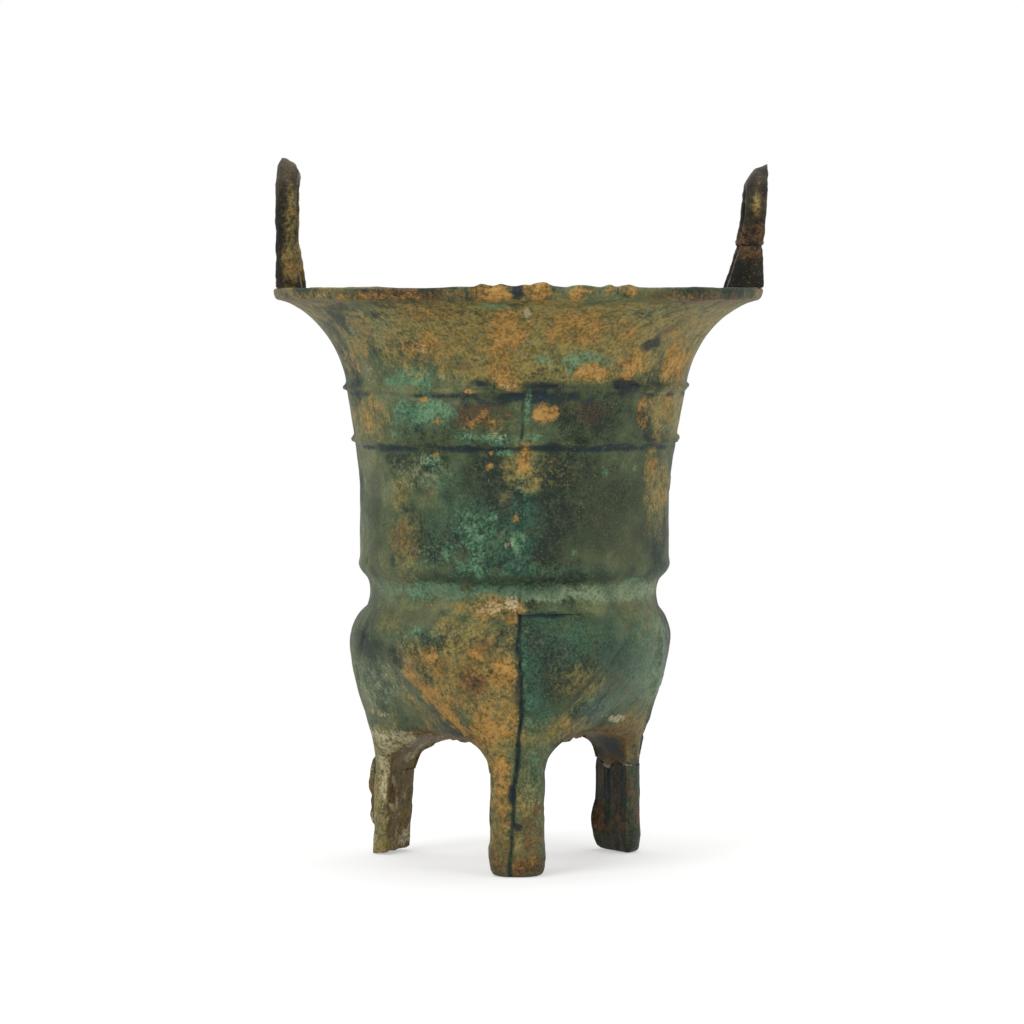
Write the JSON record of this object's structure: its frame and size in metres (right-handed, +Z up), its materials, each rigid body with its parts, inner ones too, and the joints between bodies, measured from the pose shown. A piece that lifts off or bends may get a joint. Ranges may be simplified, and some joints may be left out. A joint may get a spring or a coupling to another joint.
{
  "type": "yan steamer",
  "caption": "Bronze yan steamer: a flared pot with upright loop handles on a lobed boiler with half-round legs, and a hinged pierced grate at the waist.",
  "frame": {"origin": "on the floor under the centre of the mouth", "axes": "+Z up, -Y towards the front leg, handles on +X and -X"},
  "size_m": [0.2808, 0.2782, 0.4],
  "materials": {
    "pot_bronze": "dark green and ochre corrosion, matte",
    "boiler_bronze": "grey-green and tan corrosion, matte",
    "handle_bronze": "brown corrosion with rough crust",
    "leg_bronze": "tan and olive corrosion, rough",
    "grate_bronze": "dull green corrosion",
    "chaplet_bronze": "olive corrosion, a little smoother than the wall",
    "casting_clay": "fired clay",
    "repair_filler": "grey filler, matte",
    "repair_metal": "blackened metal"
  },
  "bodies": {
    "vessel": {"zeng_pot": "pot_bronze", "li_boiler": "boiler_bronze", "left_handle": "handle_bronze", "right_handle": "handle_bronze", "front_leg": "leg_bronze", "rear_left_leg": "leg_bronze", "rear_right_leg": "leg_bronze", "front_leg_core": "casting_clay", "rear_left_leg_core": "casting_clay", "rear_right_leg_core": "casting_clay", "repair_fill": "repair_filler", "repair_strip": "repair_metal", "hinge_staple": "pot_bronze", "grate_rest_1": "pot_bronze", "grate_rest_2": "pot_bronze", "grate_rest_3": "pot_bronze", "pot_chaplet_1": "chaplet_bronze", "pot_chaplet_2": "chaplet_bronze", "pot_chaplet_3": "chaplet_bronze", "pot_chaplet_4": "chaplet_bronze", "pot_chaplet_5": "chaplet_bronze", "pot_chaplet_6": "chaplet_bronze", "boiler_chaplet_1": "chaplet_bronze", "boiler_chaplet_2": "chaplet_bronze", "boiler_chaplet_3": "chaplet_bronze"},
    "grate": {"grate_plate": "grate_bronze", "grate_lifting_loop": "grate_bronze"}
  },
  "joints": [
    {"name": "grate_hinge", "type": "hinge", "parent": "vessel", "child": "grate", "pos_m": [-0.00274, 0.06983, 0.158], "axis": [-1, 0, 0], "range_deg": [0, 60]}
  ]
}
